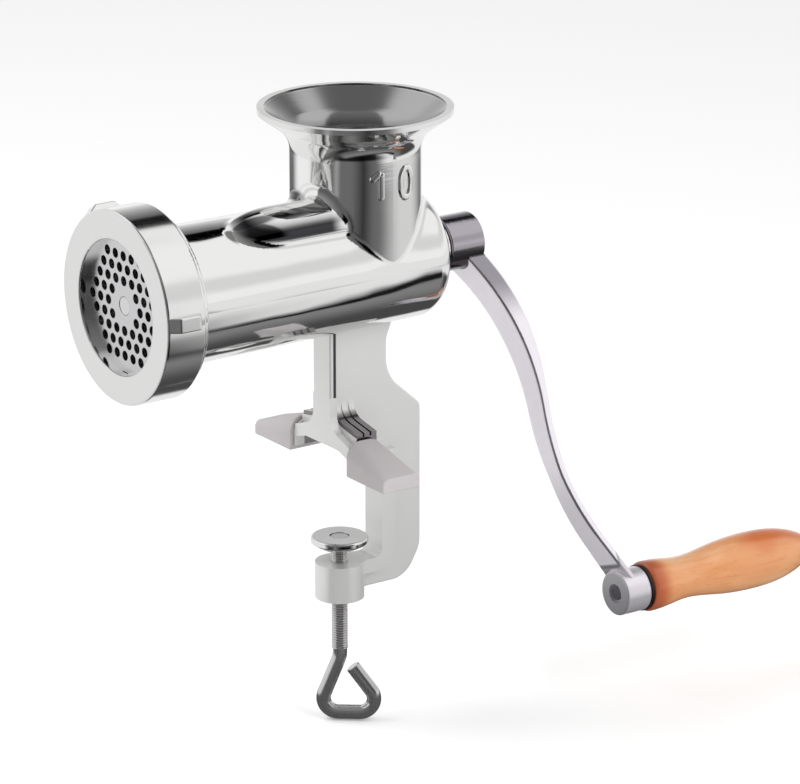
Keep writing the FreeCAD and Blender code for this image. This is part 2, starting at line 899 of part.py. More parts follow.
def crank_arm():
    arm = arm_side().common(arm_plan())
    arm = eased(arm, arm_edge)
    hub = turned_y([
        (0, hub_front_y, 0),
        (hub_radius, hub_front_y, hub_edge),
        (hub_radius, hub_rear_y, hub_edge),
        (0, hub_rear_y, 0),
    ])
    centre = crank_place(crank_radius, 0, 0)
    front = boss_front_y
    rear = handle_start_y
    boss = turned_y([
        (0, front, 0),
        (boss_radius, front, boss_edge),
        (boss_radius, rear, boss_edge),
        (0, rear, 0),
    ], centre.x, centre.z)
    arm = arm.cut(rod_y(boss_radius - boss_edge, 0, front, centre.x, centre.z))
    arm = arm.cut(rod_y(2 * boss_radius, rear, grip_end_y, centre.x, centre.z))
    crank = arm.fuse([hub, boss])
    side = tang_square + 2 * square_clearance
    crank = crank.cut(square_bar(side, 0, hub_floor_y))
    crank = crank.cut(rod_y(hub_counterbore_radius, hub_floor_y, grip_end_y))
    crank = crank.cut(rod_y(bolt_radius + tapped_clearance, front, rear, centre.x, centre.z))
    return crank.cut(rod_y(boss_recess_radius, front, front + boss_recess, centre.x, centre.z))


def crank_washer():
    start = hub_floor_y
    end = start + crank_washer_thickness
    disc = rod_y(crank_washer_radius, start, end)
    return disc.cut(rod_y(crank_screw_radius + washer_bore_clearance, start, end))


def slotted(shape, radius, end, x, z):
    """Cuts a driver slot across a screw head whose outer face is at end."""
    slot = Part.makeBox(
        2 * radius, slot_depth, slot_width, Vector(x - radius, end - slot_depth, z - slot_width / 2)
    )
    return shape.cut(slot)


def crank_screw():
    seat = hub_floor_y + crank_washer_thickness
    end = seat + crank_screw_head
    shank = rod_y(crank_screw_radius, hub_floor_y - crank_screw_length, seat)
    head = turned_y([
        (0, seat, 0),
        (crank_screw_head_radius, seat, 0),
        (crank_screw_head_radius, end, crank_screw_crown),
        (0, end, 0),
    ])
    return slotted(shank.fuse(head), crank_screw_head_radius, end, 0, barrel_height)


def handle_centre():
    return crank_place(crank_radius, 0, 0)


def handle_washer():
    centre = handle_centre()
    start = handle_start_y
    end = start + handle_washer_thickness
    disc = rod_y(handle_washer_radius, start, end, centre.x, centre.z)
    return disc.cut(rod_y(bolt_radius + washer_bore_clearance, start, end, centre.x, centre.z))


def handle_end_washer():
    centre = handle_centre()
    start = end_washer_y
    end = bolt_seat_y
    disc = rod_y(end_washer_radius, start, end, centre.x, centre.z)
    return disc.cut(rod_y(bolt_radius + washer_bore_clearance, start, end, centre.x, centre.z))


def handle_bolt():
    centre = handle_centre()
    seat = bolt_seat_y
    end = seat + bolt_head
    shank = rod_y(bolt_radius, boss_front_y + bolt_end_setback, seat, centre.x, centre.z)
    head = turned_y([
        (0, seat, 0),
        (bolt_head_radius, seat, 0),
        (bolt_head_radius, end, bolt_head_crown),
        (0, end, 0),
    ], centre.x, centre.z)
    return slotted(shank.fuse(head), bolt_head_radius, end, centre.x, centre.z)


def handle_grip():
    centre = handle_centre()
    start = grip_start_y
    end = grip_end_y

    def at(radius, y):
        return Vector(centre.x + radius, y, centre.z)

    side = Part.BSplineCurve()
    side.interpolate([
        at(grip_butt_radius, start + 2.0),
        at(grip_butt_radius - 0.3, start + 9.0),
        at(grip_neck_radius, start + grip_neck_at),
        at((grip_neck_radius + grip_belly_radius) / 2 + 0.4, start + (grip_neck_at + grip_belly_at) / 2),
        at(grip_belly_radius, start + grip_belly_at),
        at(grip_belly_radius * 0.86, end - 12.0),
        at(grip_tip_radius, end),
    ])
    butt = Part.Arc(
        at(grip_butt_radius - 2.0, start),
        at(grip_butt_radius - 0.6, start + 0.6),
        at(grip_butt_radius, start + 2.0),
    )
    outline = Part.Wire([
        Part.LineSegment(at(0, start), at(grip_butt_radius - 2.0, start)).toShape(),
        butt.toShape(),
        side.toShape(),
        Part.LineSegment(at(grip_tip_radius, end), at(0, end)).toShape(),
        Part.LineSegment(at(0, end), at(0, start)).toShape(),
    ])
    grip = Part.Face(outline).revolve(centre, along, 360)
    grip = grip.cut(rod_y(bolt_radius + bolt_fit, start - 1.0, end + 1.0, centre.x, centre.z))
    return grip.cut(rod_y(grip_counterbore_radius, grip_floor_y, end + 1.0, centre.x, centre.z))


def loop_place(across_loop, z):
    turn = math.radians(loop_turn)
    return Vector(across_loop * math.cos(turn), across_loop * math.sin(turn), z)


def clamp_screw():
    top = pad_bottom_z + pad_socket_depth - pad_gap
    thread = rod_z(screw_radius, screw_bend_z + 4.0, top)
    path = rounded_path([
        (loop_place(0, screw_bend_z + 8.0), 0),
        (loop_place(0, screw_bend_z), neck_bend_radius),
        (loop_place(loop_left, loop_bottom_z), loop_bend_radius),
        (loop_place(loop_right, loop_bottom_z), loop_bend_radius),
        (loop_place(loop_end, loop_end_z), 0),
    ], False)
    circle = Part.Circle(loop_place(0, screw_bend_z + 8.0), up, rod_radius)
    rod = path.makePipeShell([Part.Wire(circle.toShape())], True, False)
    screw = thread.fuse(rod)
    return screw.cut(rod_z(rivet_radius + tapped_clearance, pad_top_z - rivet_length, top + 1.0))


def clamp_pad():
    pad = turned_z([
        (0, pad_bottom_z, 0),
        (pad_radius * 0.62, pad_bottom_z, 1.5),
        (pad_radius, pad_bottom_z + pad_thickness * 0.5, 1.0),
        (pad_radius, pad_top_z, pad_edge),
        (0, pad_top_z, 0),
    ])
    socket = rod_z(screw_radius + screw_clearance, pad_bottom_z - 1.0, pad_bottom_z + pad_socket_depth)
    sink = rod_z(rivet_head_radius + pad_gap, pad_top_z - rivet_head - pad_gap, pad_top_z + 1.0)
    hole = rod_z(rivet_radius + screw_clearance, pad_bottom_z - 1.0, pad_top_z + 1.0)
    return pad.cut(socket).cut(sink).cut(hole)


def pad_rivet():
    head_top = pad_top_z - pad_gap
    head_seat = pad_top_z - rivet_head
    head = turned_z([
        (0, head_seat, 0),
        (rivet_head_radius, head_seat, 0),
        (rivet_head_radius, head_top, 0.5),
        (0, head_top, 0),
    ])
    return head.fuse(rod_z(rivet_radius, pad_top_z - rivet_length + 0.5, head_seat))


def foot_cap():
    """A soft cap over a foot, open towards the leg."""
    grow = cap_fit + cap_wall
    outer_x = foot_outer_x + cap_fit + cap_end_wall
    shell = foot_wedge(cap_inner_x, outer_x, 0.0, grow)
    shell = eased(shell, cap_edge)
    space = foot_wedge(cap_inner_x - 1.0, foot_outer_x + cap_fit, foot_sole - cap_fit, cap_fit)
    return shell.cut(space)


write(body_casting(), "body_casting")
write(clamp_frame(), "clamp_frame")
write(foot_yoke(), "foot_yoke")
write(plate_key_pin(), "plate_key_pin")
write(bearing_bush(), "bearing_bush")
write(thrust_washer(), "thrust_washer")
write(retaining_ring(), "retaining_ring")
write(grinding_plate(), "grinding_plate")
write(cutting_knife(), "cutting_knife")
write(feed_auger(), "feed_auger")
write(auger_stud(), "auger_stud")
write(crank_arm(), "crank_arm")
write(crank_washer(), "crank_washer")
write(crank_screw(), "crank_screw")
write(handle_bolt(), "handle_bolt")
write(handle_washer(), "handle_washer")
write(handle_end_washer(), "handle_end_washer")
write(handle_grip(), "handle_grip")
write(clamp_screw(), "clamp_screw")
write(clamp_pad(), "clamp_pad")
write(pad_rivet(), "pad_rivet")
write(foot_cap(), "foot_cap_right")
write(mirrored(foot_cap()), "foot_cap_left")
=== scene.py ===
import json
import math
import bmesh
import bpy
import numpy as np
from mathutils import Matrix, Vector


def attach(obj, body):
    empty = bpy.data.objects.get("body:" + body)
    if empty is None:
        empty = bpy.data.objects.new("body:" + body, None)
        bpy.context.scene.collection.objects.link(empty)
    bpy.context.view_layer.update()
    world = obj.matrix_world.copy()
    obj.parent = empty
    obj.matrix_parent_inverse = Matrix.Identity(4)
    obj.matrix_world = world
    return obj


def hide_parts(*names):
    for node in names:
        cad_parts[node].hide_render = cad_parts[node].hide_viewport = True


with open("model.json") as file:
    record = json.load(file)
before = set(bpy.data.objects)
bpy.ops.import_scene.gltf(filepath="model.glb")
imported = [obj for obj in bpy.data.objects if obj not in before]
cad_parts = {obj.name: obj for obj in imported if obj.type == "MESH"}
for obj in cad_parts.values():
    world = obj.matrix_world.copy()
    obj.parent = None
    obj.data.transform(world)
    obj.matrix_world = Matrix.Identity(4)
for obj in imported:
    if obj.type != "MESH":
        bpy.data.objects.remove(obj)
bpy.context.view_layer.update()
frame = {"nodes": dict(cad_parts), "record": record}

# Manual meat grinder, dressed round its CAD model. Metres; +Z up, -Y the mouth, +Y the crank.

mm = 0.001
axisZ = 0.0975  # barrel axis above the table top
nodes = frame["nodes"]
print("frame loaded,", len(nodes), "nodes")


# Shader maths

class Wire:
    # wraps one output socket, so that an expression on values adds its own Math nodes
    def __init__(self, tree, socket):
        self.tree = tree
        self.socket = socket

    def maths(self, operation, *values):
        node = self.tree.nodes.new("ShaderNodeMath")
        node.operation = operation
        for place, value in enumerate(values):
            plug(self.tree, node.inputs[place], value)
        return Wire(self.tree, node.outputs[0])

    def __add__(self, other):
        return self.maths("ADD", self, other)

    def __radd__(self, other):
        return self.maths("ADD", other, self)

    def __sub__(self, other):
        return self.maths("SUBTRACT", self, other)

    def __rsub__(self, other):
        return self.maths("SUBTRACT", other, self)

    def __mul__(self, other):
        return self.maths("MULTIPLY", self, other)

    def __rmul__(self, other):
        return self.maths("MULTIPLY", other, self)

    def __pow__(self, other):
        return self.maths("POWER", self, other)

    def highest(self, other):
        return self.maths("MAXIMUM", self, other)


def plug(tree, socket, value):
    # links a wire, or writes a constant, into a socket
    if isinstance(value, Wire):
        tree.links.new(value.socket, socket)
    elif isinstance(value, (tuple, list)) and socket.type == "RGBA":
        socket.default_value = (*value[:3], 1.0)
    else:
        socket.default_value = value


class Finish:
    # one material: its Principled shader, its Object coordinates and one method for every other node
    def __init__(self, name, **constants):
        self.material = bpy.data.materials.new(name)
        self.material.use_nodes = True
        self.tree = self.material.node_tree
        self.shader = self.tree.nodes["Principled BSDF"]
        self.where = self.node("ShaderNodeTexCoord").out("Object")
        for socket, value in constants.items():
            plug(self.tree, self.shader.inputs[socket.replace("_", " ")], value)

    def node(self, kind, settings=None, sockets=None):
        node = self.tree.nodes.new(kind)
        for name, value in (settings or {}).items():
            setattr(node, name, value)
        for name, value in (sockets or {}).items():
            plug(self.tree, node.inputs[name], value)
        return Outputs(self.tree, node)

    def turnedLines(self, across, perMetre, detail):
        # noise along one line, for the marks that a lathe leaves
        inputs = {"W": across * perMetre, "Detail": detail}
        return self.node("ShaderNodeTexNoise", {"noise_dimensions": "1D"}, inputs).out("Fac")

    def axes(self):
        split = self.node("ShaderNodeSeparateXYZ", None, {0: self.where})
        return split.out("X"), split.out("Y"), split.out("Z")

    def noise(self, scale, detail=2.0, stretch=(1.0, 1.0, 1.0), roughness=0.5):
        # fractal noise on Object coordinates, each axis stretched by its own factor
        place = self.node("ShaderNodeMapping", None, {"Vector": self.where, "Scale": stretch})
        inputs = {"Vector": place.out("Vector"), "Scale": scale, "Detail": detail, "Roughness": roughness}
        return self.node("ShaderNodeTexNoise", None, inputs).out("Fac")

    def between(self, value, low, high):
        # 0 where the value is at low, 1 at high, eased between them
        inputs = {"Value": value, "From Min": low, "From Max": high}
        return self.node("ShaderNodeMapRange", {"interpolation_type": "SMOOTHSTEP"}, inputs).out("Result")

    def blend(self, share, first, second):
        # mixes two colours
        inputs = {"Factor": share, 6: first, 7: second}
        return self.node("ShaderNodeMix", {"data_type": "RGBA"}, inputs).out(2)

    def bump(self, height, strength, distance=0.0002, under=None):
        inputs = {"Height": height, "Strength": strength, "Distance": distance}
        if under is not None:
            inputs["Normal"] = under
        return self.node("ShaderNodeBump", None, inputs).out("Normal")

    def set(self, **sockets):
        for name, value in sockets.items():
            plug(self.tree, self.shader.inputs[name.replace("_", " ")], value)
        return self.material


class Outputs:
    def __init__(self, tree, node):
        self.tree = tree
        self.node = node

    def out(self, name):
        return Wire(self.tree, self.node.outputs[name])


# Meshes

def gridFaces(rows, columns, closeRows=False, closeColumns=False):
    # quads of a grid of rows x columns points; a closed direction also joins its last line to its first
    r = np.arange(rows if closeRows else rows - 1)[:, None]
    c = np.arange(columns if closeColumns else columns - 1)[None, :]
    r2 = (r + 1) % rows
    c2 = (c + 1) % columns
    corners = (r * columns + c, r2 * columns + c, r2 * columns + c2, r * columns + c2)
    return np.stack(np.broadcast_arrays(*corners), -1).reshape(-1, 4)


def makePiece(name, body, slotName, points, faces, smoothAngle=None):
    # one finished piece: doubles merged, faces turned outwards, smooth shading, riding on its body
    mesh = bpy.data.meshes.new(name)
    mesh.from_pydata(np.asarray(points).reshape(-1, 3).tolist(), [], [list(face) for face in faces])
    shape = bmesh.new()
    shape.from_mesh(mesh)
    bmesh.ops.remove_doubles(shape, verts=shape.verts, dist=1e-7)
    bmesh.ops.recalc_face_normals(shape, faces=shape.faces)
    shape.to_mesh(mesh)
    shape.free()
    mesh.polygons.foreach_set("use_smooth", np.ones(len(mesh.polygons), dtype=bool))
    if smoothAngle is not None:
        mesh.set_sharp_from_angle(angle=math.radians(smoothAngle))
    mesh.materials.append(finishes[slotName])
    piece = bpy.data.objects.new(name, mesh)
    bpy.context.collection.objects.link(piece)
    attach(piece, body)
    return piece


def joinGrids(grids):
    # several (points, faces) pairs as one list of points and one of faces
    points = []
    faces = []
    count = 0
    for some, quads in grids:
        some = np.asarray(some).reshape(-1, 3)
        points.append(some)
        faces += [[int(i) + count for i in face] for face in quads]
        count += len(some)
    return np.concatenate(points), faces


def bentPath(corners, radii, step):
    # a path of straight runs with a circular arc of the given radius at each inner corner:
    # the arc leaves and meets its runs at radius * tan(turn / 2) from the corner
    corners = np.asarray(corners, float)
    path = [corners[0]]
    for before, corner, after, radius in zip(corners[:-2], corners[1:-1], corners[2:], radii):
        u = (before - corner) / np.linalg.norm(before - corner)
        v = (after - corner) / np.linalg.norm(after - corner)
        turn = math.pi - math.acos(float(np.clip(u @ v, -1.0, 1.0)))
        reach = radius * math.tan(turn / 2)
        middle = corner + (u + v) / np.linalg.norm(u + v) * radius / math.cos(turn / 2)
        first = corner + u * reach - middle
        last = corner + v * reach - middle
        share = np.linspace(0.0, 1.0, max(3, int(radius * turn / step)))[:, None]
        arc = (np.sin((1 - share) * turn) * first + np.sin(share * turn) * last) / math.sin(turn)
        path += list(middle + arc)
    path.append(corners[-1])
    return resampled(np.array(path), step)


def resampled(path, step):
    # the same path with points about a step apart
    length = np.concatenate([[0.0], np.cumsum(np.linalg.norm(np.diff(path, axis=0), axis=1))])
    count = max(2, int(length[-1] / step))
    at = np.linspace(0.0, length[-1], count)
    return np.stack([np.interp(at, length, path[:, i]) for i in range(3)], 1)


def tube(path, radii, sides, across):
    # point = path + radius * (cos u * side + sin u * other), where side stays in the plane of the bends
    path = np.asarray(path)
    tangent = np.gradient(path, axis=0)
    tangent /= np.linalg.norm(tangent, axis=1)[:, None]
    other = np.broadcast_to(np.asarray(across, float), path.shape)
    side = np.cross(other, tangent)
    side /= np.linalg.norm(side, axis=1)[:, None]
    u = np.linspace(0.0, 2 * math.pi, sides, endpoint=False)[None, :, None]
    radii = np.broadcast_to(np.asarray(radii, float), (len(path),))[:, None, None]
    return path[:, None] + radii * (np.cos(u) * side[:, None] + np.sin(u) * other[:, None])


# Finishes

# a pair in the dictionaries of looks is where a term starts and where it is full, in metres
neck = {
    "radius": 0.0312,
    "y": 0.010,
    "wall": 0.0298,  # middle of its wall
    "flareStart": 0.1600,
    "flareSlope": 1.13,
    "flareBlend": 0.006,
    "rim": 0.1735,
}
castingLook = {
    "polished": (0.83, 0.83, 0.825),
    "inside": (0.42, 0.42, 0.42),
    "insideEdge": 0.0006,
    "insideFrom": (0.124, 0.126),  # the hopper's dull inside starts above the barrel
    "lipEdge": (0.0006, 0.0016),  # and ends below the rim
    # painted shade in the crease round the hump
    "paintedCreaseShade": (0.05, 0.05, 0.055),
    "creaseFoot": (0.0338, 0.0352),  # from the barrel axis
    "creaseTop": (0.0402, 0.0374),
    "creaseFront": (-0.074, -0.062),
    "creaseBack": (-0.012, -0.020),
}


def castingFinish():
    # tinned iron with a hand polish, dull inside the hopper, and painted shade in the crease round the hump
    look = Finish("tinnedCasting", Metallic=1.0)
    x, y, z = look.axes()
    # inside the hopper: nearer the neck's axis than the middle of its wall, which leans out above the neck
    fromAxis = (x * x + (y - neck["y"]) * (y - neck["y"])) ** 0.5
    wall = (z - neck["flareStart"]) * neck["flareSlope"]
    wall = neck["wall"] + wall.maths("SMOOTH_MAX", wall, 0.0, neck["flareBlend"])
    inside = look.between(fromAxis, wall, wall - castingLook["insideEdge"])
    inside = inside * look.between(z, *castingLook["insideFrom"])
    lipTop, lipEnd = castingLook["lipEdge"]
    inside = inside * look.between(z, neck["rim"] - lipTop, neck["rim"] - lipEnd)
    colour = look.blend(inside, castingLook["polished"], castingLook["inside"])
    height = z - axisZ
    fromBarrel = (x * x + height * height) ** 0.5
    # painted shade: the colour darkens in the crease round the hump
    paintedCreaseShade = look.between(fromBarrel, *castingLook["creaseFoot"])
    paintedCreaseShade = paintedCreaseShade * look.between(fromBarrel, *castingLook["creaseTop"])
    paintedCreaseShade = paintedCreaseShade * look.between(y, *castingLook["creaseFront"])
    paintedCreaseShade = paintedCreaseShade * look.between(y, *castingLook["creaseBack"])
    colour = look.blend(paintedCreaseShade, colour, castingLook["paintedCreaseShade"])
    cloud = look.noise(scale=60.0)
    scratch = look.noise(scale=700.0, stretch=(1.0, 0.04, 1.0))
    rough = 0.05 + 0.03 * cloud + 0.02 * scratch + 0.12 * inside
    wave = look.bump(look.noise(scale=30.0, detail=1.0), strength=0.30, distance=0.0010)
    fine = look.bump(scratch, strength=0.06, under=wave)
    return look.set(Base_Color=colour, Roughness=rough, Normal=fine)


frameLook = {
    "colour": (0.80, 0.80, 0.79),
    "shade": (0.05, 0.045, 0.05),  # painted shade in the corner behind the front rib
    "ribSide": (0.0066, 0.0070),  # from the middle
    "ribFront": (-0.0084, -0.0078),
    "ribBack": (-0.0052, -0.0060),
    "shadeFrom": (0.0, 0.012),  # above the table top
    "yokeBack": (-0.0057, -0.0049),  # the yoke's fluted back starts here
    "fluteFrom": (0.0042, 0.0060),  # from the middle
    "fluteTop": (0.0300, 0.0240),
    # painted dark reflection on the fluted back
    "paintedFluteReflection": (0.24, 0.225, 0.235),
}


def frameFinish():
    # the leg and the clamp: tinned, blasted and pale, with painted shade in the corners along the front rib
    look = Finish("tinnedFrame", Metallic=0.45)
    x, y, z = look.axes()
    across = x.maths("ABSOLUTE", x)
    side = look.between(across, *frameLook["ribSide"])
    side = side * look.between(y, *frameLook["ribFront"])
    side = side * look.between(y, *frameLook["ribBack"])
    side = side * look.between(z, *frameLook["shadeFrom"])
    # painted shade: the colour darkens in the corners along the front rib
    tone = look.blend(side, frameLook["colour"], frameLook["shade"])
    grain = look.noise(scale=1500.0, detail=3.0)
    wave = look.bump(look.noise(scale=40.0, detail=1.0), strength=0.12, distance=0.0008)
    fine = look.bump(grain, strength=0.06, under=wave)
    return look.set(Base_Color=tone, Roughness=0.30 + 0.10 * grain, Normal=fine)


def yokeFinish():
    # the yoke: pale in front as the leg is, and bright-rubbed metal on its fluted back, darkened there with a
    # painted reflection
    look = Finish("tinnedYoke")
    x, y, z = look.axes()
    back = look.between(y, *frameLook["yokeBack"])
    back = back * look.between(x.maths("ABSOLUTE", x), *frameLook["fluteFrom"])
    back = back * look.between(z, *frameLook["fluteTop"])
    grain = look.noise(scale=900.0, detail=3.0)
    # painted reflection: the fluted back's colour is darkened
    tone = look.blend(back, frameLook["colour"], frameLook["paintedFluteReflection"])
    rough = (0.32 + 0.08 * grain) * (1.0 - back) + (0.10 + 0.10 * grain) * back
    fine = look.bump(grain, strength=0.08)
    return look.set(Base_Color=tone, Metallic=0.45 + 0.55 * back, Roughness=rough, Normal=fine)


ringLook = {
    "colour": (0.83, 0.83, 0.825),
    "front": (-0.1232, -0.1239),  # the satin front face
}


def ringFinish():
    # the ring: satin front face with turned circles, polished outside
    look = Finish("tinnedRing", Metallic=1.0)
    x, y, z = look.axes()
    z = z - axisZ
    radius = (x * x + z * z) ** 0.5
    front = look.between(y, *ringLook["front"])
    turned = look.turnedLines(radius, perMetre=5200.0, detail=3.0)
    rough = (0.34 + 0.10 * turned) * front + (0.10 + 0.05 * look.noise(scale=90.0)) * (1.0 - front)
    wave = look.bump(look.noise(scale=26.0, detail=1.0), strength=0.15, distance=0.0008)
    fine = look.bump(turned * front, strength=0.10, under=wave)
    return look.set(Base_Color=ringLook["colour"], Roughness=rough, Normal=fine)


def steelFinish(name, colour, roughness, scale, stretch=(1.0, 1.0, 1.0), metal=1.0):
    # bright steel with a fine grain, drawn out along one axis where the piece was drawn or ground
    look = Finish(name, Metallic=metal)
    grain = look.noise(scale, detail=3.0, stretch=stretch)
    tone = look.blend(grain, tuple(0.90 * c for c in colour), colour)
    fine = look.bump(grain, strength=0.10)
    return look.set(Base_Color=tone, Roughness=roughness + 0.08 * (grain - 0.5), Normal=fine)


crankLook = {
    "arm": (0.90, 0.865, 0.92),
    "side": (0.942, 0.336),  # X and Z of the way that the arm's narrow side faces
    "edgeFrom": (0.12, 0.30),  # share of a normal along it, from the flats to the rounded edges
    "edgeEnd": (0.985, 0.90),
    "narrowFrom": (0.90, 0.985),  # and from these to the narrow side
    "root": (0.32, 0.30, 0.34),  # painted dark reflection on the arm's narrow side by the hub
    "rootEnd": (0.046, 0.023),
    "hub": (0.43, 0.405, 0.445),
    "paintedHubReflection": (0.10, 0.09, 0.10),  # painted dark reflection on the hub's lower side
    "hubFade": (0.0030, -0.0040),  # heights round the axis between the two
    "hubEnd": (0.0141, 0.0137),
    "bossFace": (0.56, 0.55, 0.575),
    "faceFrom": (0.1190, 0.1196),
    "faceEnd": (0.1206, 0.1202),
    "bossFrom": (0.1190, 0.1200),
    "dulled": (0.75, 0.25),  # how much less metallic the arm's flats and the boss are
}


def crankFinish():
    # plated iron: matt arm with bright edges and a painted dark reflection on its narrow side by the hub, a
    # dark hub with a painted dark reflection on its lower side, and a handle boss with turned lines
    look = Finish("crankIron")
    x, y, z = look.axes()
    height = z - axisZ
    fromHub = (x * x + height * height) ** 0.5
    hub = look.between(fromHub, *crankLook["hubEnd"])
    # painted reflection: the hub's colour darkens towards its lower side
    hubToneWithPaintedReflection = look.blend(look.between(height, *crankLook["hubFade"]), crankLook["hub"], crankLook["paintedHubReflection"])
    front = look.between(y, *crankLook["faceEnd"]) * look.between(y, *crankLook["faceFrom"])
    boss = look.between(y, *crankLook["bossFrom"])
    grain = look.noise(scale=500.0, detail=3.0)
    lines = look.turnedLines(y, perMetre=1800.0, detail=2.0)
    rough = (0.28 + 0.08 * grain) * (1.0 - hub) + 0.14 * hub
    # the arm's flats are matt, and its rounded edges are rubbed bright
    normal = look.node("ShaderNodeSeparateXYZ", None, {0: look.node("ShaderNodeTexCoord").out("Normal")})
    sideX, sideZ = crankLook["side"]
    sideways = normal.out("X") * sideX + normal.out("Z") * sideZ
    sideways = sideways.maths("ABSOLUTE", sideways)
    edge = look.between(sideways, *crankLook["edgeFrom"]) * look.between(sideways, *crankLook["edgeEnd"])
    flats = (1.0 - hub) * (1.0 - boss) * (1.0 - edge)
    # painted reflection: the arm's narrow side is darkened near the hub
    root = look.between(sideways, *crankLook["narrowFrom"]) * look.between(fromHub, *crankLook["rootEnd"])
    tone = look.blend(root, look.blend(front, crankLook["arm"], crankLook["bossFace"]), crankLook["root"])
    tone = look.blend(hub, tone, hubToneWithPaintedReflection)
    dullFlats, dullBoss = crankLook["dulled"]
    metal = 1.0 - dullFlats * flats - dullBoss * boss
    fine = look.bump(grain * (1.0 - boss) + 1.6 * lines * boss, strength=0.12)
    return look.set(Base_Color=tone, Metallic=metal, Roughness=rough, Normal=fine)


woodLook = {
    "body": (0.76, 0.335, 0.135),
    "deep": (0.62, 0.165, 0.040),
    "pale": (0.86, 0.49, 0.255),
    "deepBlotch": (0.48, 0.66),  # levels of the noise, as in the next three
    "paleBlotch": (0.45, 0.25),
    "darkGrain": (0.45, 0.75),
    "darkPores": (0.62, 0.75),
    "grainShare": 0.35,
    "poreShare": 0.45,
    "butt": (0.42, 0.085, 0.025),  # painted shade on the end by the washer
    "buttFade": (0.1472, 0.1372),
    "buttShare": 0.9,
    "stainFade": (0.1502, 0.1402),  # the deeper stain next to it
    "stainShare": 0.95,
}


def woodFinish():
    # straight-grained beech under orange lacquer: grain along the handle, blotches where the stain took, and
    # painted shade at the end by the washer
    look = Finish("lacqueredWood", Coat_Weight=0.7, Coat_Roughness=0.08, IOR=1.5)
    y = look.axes()[1]
    grain = look.noise(scale=420.0, detail=4.0, stretch=(1.0, 0.045, 1.0), roughness=0.6)
    blotch = look.noise(scale=34.0, stretch=(1.0, 0.45, 1.0))
    pores = look.noise(scale=1500.0, stretch=(1.0, 0.06, 1.0))
    tone = look.blend(look.between(blotch, *woodLook["deepBlotch"]), woodLook["body"], woodLook["deep"])
    tone = look.blend(look.between(blotch, *woodLook["paleBlotch"]), tone, woodLook["pale"])
    darkGrain = woodLook["grainShare"] * look.between(grain, *woodLook["darkGrain"])
    tone = look.blend(darkGrain, tone, woodLook["deep"])
    darkPores = woodLook["poreShare"] * look.between(pores, *woodLook["darkPores"])
    tone = look.blend(darkPores, tone, woodLook["deep"])
    stain = woodLook["stainShare"] * look.between(y, *woodLook["stainFade"])
    tone = look.blend(stain, tone, woodLook["deep"])
    # painted shade: the end by the washer is darkened
    butt = woodLook["buttShare"] * look.between(y, *woodLook["buttFade"])
    tone = look.blend(butt, tone, woodLook["butt"])
    fine = look.bump(pores, strength=0.05)
    return look.set(Base_Color=tone, Roughness=0.34 + 0.1 * grain, Normal=fine)


capLook = {"dusty": (0.52, 0.49, 0.50), "clean": (0.60, 0.575, 0.58)}


def capFinish():
    # soft grey plastic with a dusty bloom
    look = Finish("capRubber")
    grain = look.noise(scale=1100.0, detail=3.0)
    cloud = look.noise(scale=45.0)
    tone = look.blend(cloud, capLook["dusty"], capLook["clean"])
    fine = look.bump(grain, strength=0.12)
    return look.set(Base_Color=tone, Roughness=0.55 + 0.12 * grain, Normal=fine)


finishes = {
    "tinned_iron": castingFinish(),
    "frame": frameFinish(),
    "yoke": yokeFinish(),
    "ring": ringFinish(),
    "steel": steelFinish("brightSteel", (0.72, 0.72, 0.72), roughness=0.22, scale=900.0),
    "screw_steel": steelFinish(
        "screwSteel", (0.66, 0.65, 0.65), roughness=0.20, scale=700.0, stretch=(1.0, 1.0, 0.1), metal=0.92
    ),
    "tool_steel": steelFinish("toolSteel", (0.66, 0.66, 0.67), roughness=0.26, scale=800.0),
    "bush_bronze": steelFinish("bushBronze", (0.60, 0.42, 0.22), roughness=0.35, scale=800.0),
    "fibre": steelFinish("fibreWasher", (0.25, 0.08, 0.05), roughness=0.6, scale=500.0),
    "crank_iron": crankFinish(),
    "bolt": steelFinish("boltSteel", (0.24, 0.23, 0.26), roughness=0.30, scale=700.0),
    # painted shade: the washer is coloured near black for the shadow in the gap between the boss and the grip
    "painted_shade_washer": steelFinish("paintedShadeWasher", (0.09, 0.055, 0.05), roughness=0.45, scale=600.0),
    "lacquered_wood": woodFinish(),
    "cap_rubber": capFinish(),
}
record = frame["record"]
slotOf = {part["node"]: part["material_slot"] for part in record["subparts"]}
slotOf.update(retaining_ring="ring", clamp_frame="frame", foot_yoke="yoke")
# the washer's near-black colour is painted shade in that gap
slotOf.update(handle_bolt="bolt", handle_washer="painted_shade_washer")
for name, node in nodes.items():
    for place in node.material_slots:
        place.material = finishes[slotOf[name]]
print("finishes made")


# Raised size number on the neck of the hopper, plain strokes of its own

numberLook = {
    "height": 0.0178,  # of the figures
    "middle": 0.1418,  # above the table top
    "angle": 1.5,  # degrees from +X towards the crank
    "spacing": 0.0142,
    "stroke": 0.0036,
    "raised": 0.0011,
    "foot": 0.0001,  # the ridge starts this far inside the wall
    "sunk": 0.0003,  # and an open end dips this much further
    "zeroWidth": 0.0105,
    "zeroPower": 0.85,  # below 1 it makes the zero fuller than an ellipse
    "flag": 0.0056,
    "flagSlope": 0.8,
}


